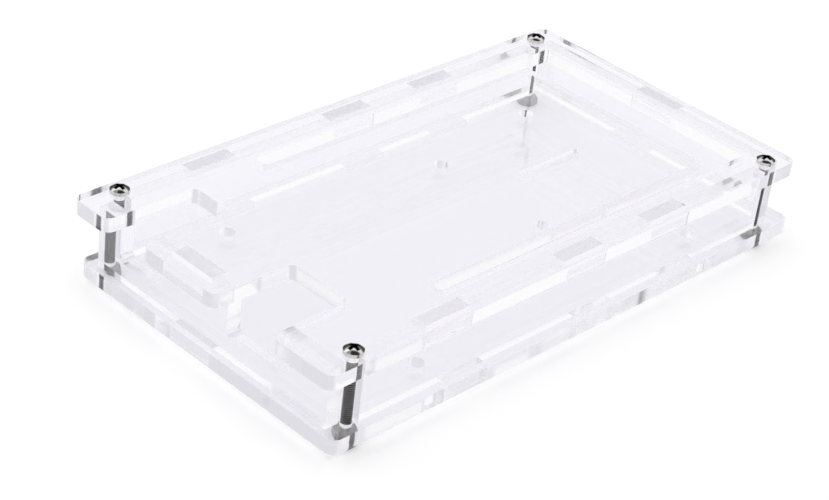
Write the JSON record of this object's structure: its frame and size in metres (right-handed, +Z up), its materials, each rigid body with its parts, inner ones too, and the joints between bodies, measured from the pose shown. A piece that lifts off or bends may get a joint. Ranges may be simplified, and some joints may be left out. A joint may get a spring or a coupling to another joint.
{
  "type": "acrylic development board case",
  "caption": "Clear acrylic case for a long development board: notched top plate, bottom plate, tabbed walls and a screw with a nut at each corner.",
  "frame": {"origin": "centre of the case's length and width, level with the undersides of the corner nuts that it stands on", "axes": "+X along the case away from the connector end, +Y across it towards the side of the power jack, +Z up through the stack of plates"},
  "size_m": [0.127, 0.0686, 0.0199],
  "materials": {
    "clear_acrylic": "gloss",
    "steel": "gloss"
  },
  "bodies": {
    "root": {"bottom_plate": "clear_acrylic", "top_plate": "clear_acrylic", "front_wall": "clear_acrylic", "rear_wall": "clear_acrylic", "connector_wall": "clear_acrylic", "far_wall": "clear_acrylic", "corner_screw_1": "steel", "corner_screw_2": "steel", "corner_screw_3": "steel", "corner_screw_4": "steel", "corner_nut_1": "steel", "corner_nut_2": "steel", "corner_nut_3": "steel", "corner_nut_4": "steel"}
  },
  "joints": []
}
